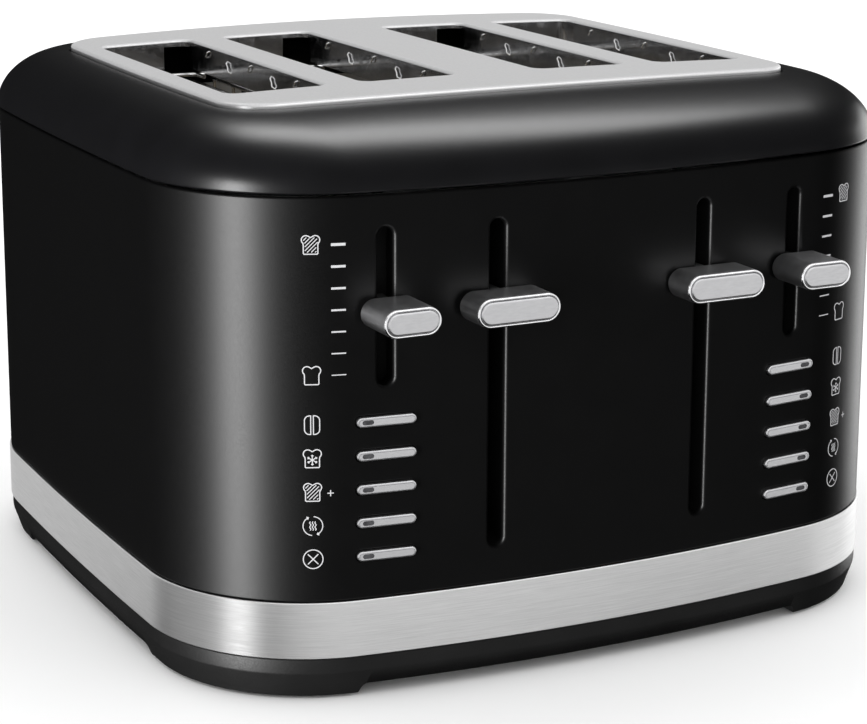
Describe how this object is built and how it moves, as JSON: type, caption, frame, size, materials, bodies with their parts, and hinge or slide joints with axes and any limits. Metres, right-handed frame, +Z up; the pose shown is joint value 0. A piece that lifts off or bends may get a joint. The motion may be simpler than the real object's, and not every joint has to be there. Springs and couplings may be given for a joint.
{
  "type": "pop-up toaster",
  "caption": "Wide pop-up toaster with long bread slots in a crowned steel top, lift levers, browning sliders, push buttons and pull-out crumb trays behind a brushed steel band.",
  "frame": {"origin": "middle of the bounding box at the level of the foot pads' undersides", "axes": "+Z up, -Y towards the controls at the front, +X towards the right-hand side as seen from the front; the body's middle lies 7.3 mm behind the origin because the knobs reach further than the cord gland"},
  "size_m": [0.2988, 0.3148, 0.2067],
  "materials": {
    "body_shell": "satin black, very fine grain",
    "shoulder": "smooth satin black",
    "top_steel": "satin light grey, short fine grain",
    "band_steel": "brushed along its length",
    "base_plastic": "satin black",
    "foot_rubber": "dull black",
    "knob_dark": "dark metallised, polished rim",
    "face_silver": "satin silver",
    "button_silver": "satin silver metallised",
    "board_green": "green lacquer",
    "zinc_sheet": "dull zinc plate",
    "wire_steel": "bright wire",
    "magnet_iron": "lacquered copper coil on an iron core",
    "mica_board": "pale flaky mica",
    "tray_steel": "pan dull, rear face brushed like the band"
  },
  "bodies": {
    "toaster_body": {"main_housing": "body_shell", "upper_housing": "shoulder", "top_plate": "top_steel", "base_band": "band_steel", "base_tray": "base_plastic", "foot_pad_front_left": "foot_rubber", "foot_pad_front_right": "foot_rubber", "foot_pad_rear_left": "foot_rubber", "foot_pad_rear_right": "foot_rubber", "cord_gland": "base_plastic", "control_board_left": "board_green", "guide_rod_left": "wire_steel", "lift_spring_left": "wire_steel", "latch_magnet_left": "magnet_iron", "control_board_right": "board_green", "guide_rod_right": "wire_steel", "lift_spring_right": "wire_steel", "latch_magnet_right": "magnet_iron", "heater_board_left_inner": "mica_board", "heater_board_left_middle": "mica_board", "heater_board_left_outer": "mica_board", "heater_board_right_inner": "mica_board", "heater_board_right_middle": "mica_board", "heater_board_right_outer": "mica_board", "chassis_front_plate": "zinc_sheet", "chassis_shell": "zinc_sheet"},
    "lever_left": {"lever_knob_left": "knob_dark", "lever_face_left": "face_silver", "carriage_left": "zinc_sheet", "bread_rack_left_inner": "wire_steel", "bread_rack_left_outer": "wire_steel"},
    "lever_right": {"lever_knob_right": "knob_dark", "lever_face_right": "face_silver", "carriage_right": "zinc_sheet", "bread_rack_right_inner": "wire_steel", "bread_rack_right_outer": "wire_steel"},
    "browning_left": {"browning_knob_left": "knob_dark", "browning_face_left": "face_silver"},
    "browning_right": {"browning_knob_right": "knob_dark", "browning_face_right": "face_silver"},
    "button_bagel_left": {"button_bagel_left": "button_silver"},
    "button_defrost_left": {"button_defrost_left": "button_silver"},
    "button_extra_left": {"button_extra_left": "button_silver"},
    "button_reheat_left": {"button_reheat_left": "button_silver"},
    "button_cancel_left": {"button_cancel_left": "button_silver"},
    "button_bagel_right": {"button_bagel_right": "button_silver"},
    "button_defrost_right": {"button_defrost_right": "button_silver"},
    "button_extra_right": {"button_extra_right": "button_silver"},
    "button_reheat_right": {"button_reheat_right": "button_silver"},
    "button_cancel_right": {"button_cancel_right": "button_silver"},
    "crumb_tray_left": {"crumb_tray_left": "tray_steel"},
    "crumb_tray_right": {"crumb_tray_right": "tray_steel"},
    "guard_left_inner_left": {"bread_guard_left_inner_left": "wire_steel"},
    "guard_left_inner_right": {"bread_guard_left_inner_right": "wire_steel"},
    "guard_left_outer_left": {"bread_guard_left_outer_left": "wire_steel"},
    "guard_left_outer_right": {"bread_guard_left_outer_right": "wire_steel"},
    "guard_right_inner_left": {"bread_guard_right_inner_left": "wire_steel"},
    "guard_right_inner_right": {"bread_guard_right_inner_right": "wire_steel"},
    "guard_right_outer_left": {"bread_guard_right_outer_left": "wire_steel"},
    "guard_right_outer_right": {"bread_guard_right_outer_right": "wire_steel"}
  },
  "joints": [
    {"name": "lever_left_slide", "type": "slide", "parent": "toaster_body", "child": "lever_left", "axis": [0, 0, 1], "range_m": [-0.08, 0.018], "stiffness_N_per_m": 80, "springref_m": 0.0165, "deforming": ["lift_spring_left"]},
    {"name": "lever_right_slide", "type": "slide", "parent": "toaster_body", "child": "lever_right", "axis": [0, 0, 1], "range_m": [-0.08, 0.018], "stiffness_N_per_m": 80, "springref_m": 0.0165, "deforming": ["lift_spring_right"]},
    {"name": "browning_left_slide", "type": "slide", "parent": "toaster_body", "child": "browning_left", "axis": [0, 0, 1], "range_m": [-0.021, 0.024]},
    {"name": "browning_right_slide", "type": "slide", "parent": "toaster_body", "child": "browning_right", "axis": [0, 0, 1], "range_m": [-0.021, 0.024]},
    {"name": "button_bagel_left_press", "type": "slide", "parent": "toaster_body", "child": "button_bagel_left", "axis": [0.1206, 0.9927, 0], "range_m": [0, 0.0015], "stiffness_N_per_m": 300, "springref_m": -0.002},
    {"name": "button_defrost_left_press", "type": "slide", "parent": "toaster_body", "child": "button_defrost_left", "axis": [0.1206, 0.9927, 0], "range_m": [0, 0.0015], "stiffness_N_per_m": 300, "springref_m": -0.002},
    {"name": "button_extra_left_press", "type": "slide", "parent": "toaster_body", "child": "button_extra_left", "axis": [0.1206, 0.9927, 0], "range_m": [0, 0.0015], "stiffness_N_per_m": 300, "springref_m": -0.002},
    {"name": "button_reheat_left_press", "type": "slide", "parent": "toaster_body", "child": "button_reheat_left", "axis": [0.1206, 0.9927, 0], "range_m": [0, 0.0015], "stiffness_N_per_m": 300, "springref_m": -0.002},
    {"name": "button_cancel_left_press", "type": "slide", "parent": "toaster_body", "child": "button_cancel_left", "axis": [0.1206, 0.9927, 0], "range_m": [0, 0.0015], "stiffness_N_per_m": 300, "springref_m": -0.002},
    {"name": "button_bagel_right_press", "type": "slide", "parent": "toaster_body", "child": "button_bagel_right", "axis": [-0.1206, 0.9927, 0], "range_m": [0, 0.0015], "stiffness_N_per_m": 300, "springref_m": -0.002},
    {"name": "button_defrost_right_press", "type": "slide", "parent": "toaster_body", "child": "button_defrost_right", "axis": [-0.1206, 0.9927, 0], "range_m": [0, 0.0015], "stiffness_N_per_m": 300, "springref_m": -0.002},
    {"name": "button_extra_right_press", "type": "slide", "parent": "toaster_body", "child": "button_extra_right", "axis": [-0.1206, 0.9927, 0], "range_m": [0, 0.0015], "stiffness_N_per_m": 300, "springref_m": -0.002},
    {"name": "button_reheat_right_press", "type": "slide", "parent": "toaster_body", "child": "button_reheat_right", "axis": [-0.1206, 0.9927, 0], "range_m": [0, 0.0015], "stiffness_N_per_m": 300, "springref_m": -0.002},
    {"name": "button_cancel_right_press", "type": "slide", "parent": "toaster_body", "child": "button_cancel_right", "axis": [-0.1206, 0.9927, 0], "range_m": [0, 0.0015], "stiffness_N_per_m": 300, "springref_m": -0.002},
    {"name": "crumb_tray_left_slide", "type": "slide", "parent": "toaster_body", "child": "crumb_tray_left", "axis": [0, 1, 0], "range_m": [0, 0.24]},
    {"name": "crumb_tray_right_slide", "type": "slide", "parent": "toaster_body", "child": "crumb_tray_right", "axis": [0, 1, 0], "range_m": [0, 0.24]},
    {"name": "guard_left_inner_left_close", "type": "slide", "parent": "toaster_body", "child": "guard_left_inner_left", "axis": [1, 0, 0], "range_m": [-0.0016, 0.0071]},
    {"name": "guard_left_inner_right_close", "type": "slide", "parent": "toaster_body", "child": "guard_left_inner_right", "axis": [1, 0, 0], "range_m": [-0.0071, 0.0016]},
    {"name": "guard_left_outer_left_close", "type": "slide", "parent": "toaster_body", "child": "guard_left_outer_left", "axis": [1, 0, 0], "range_m": [-0.0016, 0.0071]},
    {"name": "guard_left_outer_right_close", "type": "slide", "parent": "toaster_body", "child": "guard_left_outer_right", "axis": [1, 0, 0], "range_m": [-0.0071, 0.0016]},
    {"name": "guard_right_inner_left_close", "type": "slide", "parent": "toaster_body", "child": "guard_right_inner_left", "axis": [1, 0, 0], "range_m": [-0.0016, 0.0071]},
    {"name": "guard_right_inner_right_close", "type": "slide", "parent": "toaster_body", "child": "guard_right_inner_right", "axis": [1, 0, 0], "range_m": [-0.0071, 0.0016]},
    {"name": "guard_right_outer_left_close", "type": "slide", "parent": "toaster_body", "child": "guard_right_outer_left", "axis": [1, 0, 0], "range_m": [-0.0016, 0.0071]},
    {"name": "guard_right_outer_right_close", "type": "slide", "parent": "toaster_body", "child": "guard_right_outer_right", "axis": [1, 0, 0], "range_m": [-0.0071, 0.0016]}
  ],
  "couplings": [
    {"joint": "guard_left_inner_left_close", "follows": "lever_left_slide", "ratio": -0.0875},
    {"joint": "guard_left_inner_right_close", "follows": "lever_left_slide", "ratio": 0.0875},
    {"joint": "guard_left_outer_left_close", "follows": "lever_left_slide", "ratio": -0.0875},
    {"joint": "guard_left_outer_right_close", "follows": "lever_left_slide", "ratio": 0.0875},
    {"joint": "guard_right_inner_left_close", "follows": "lever_right_slide", "ratio": -0.0875},
    {"joint": "guard_right_inner_right_close", "follows": "lever_right_slide", "ratio": 0.0875},
    {"joint": "guard_right_outer_left_close", "follows": "lever_right_slide", "ratio": -0.0875},
    {"joint": "guard_right_outer_right_close", "follows": "lever_right_slide", "ratio": 0.0875}
  ]
}
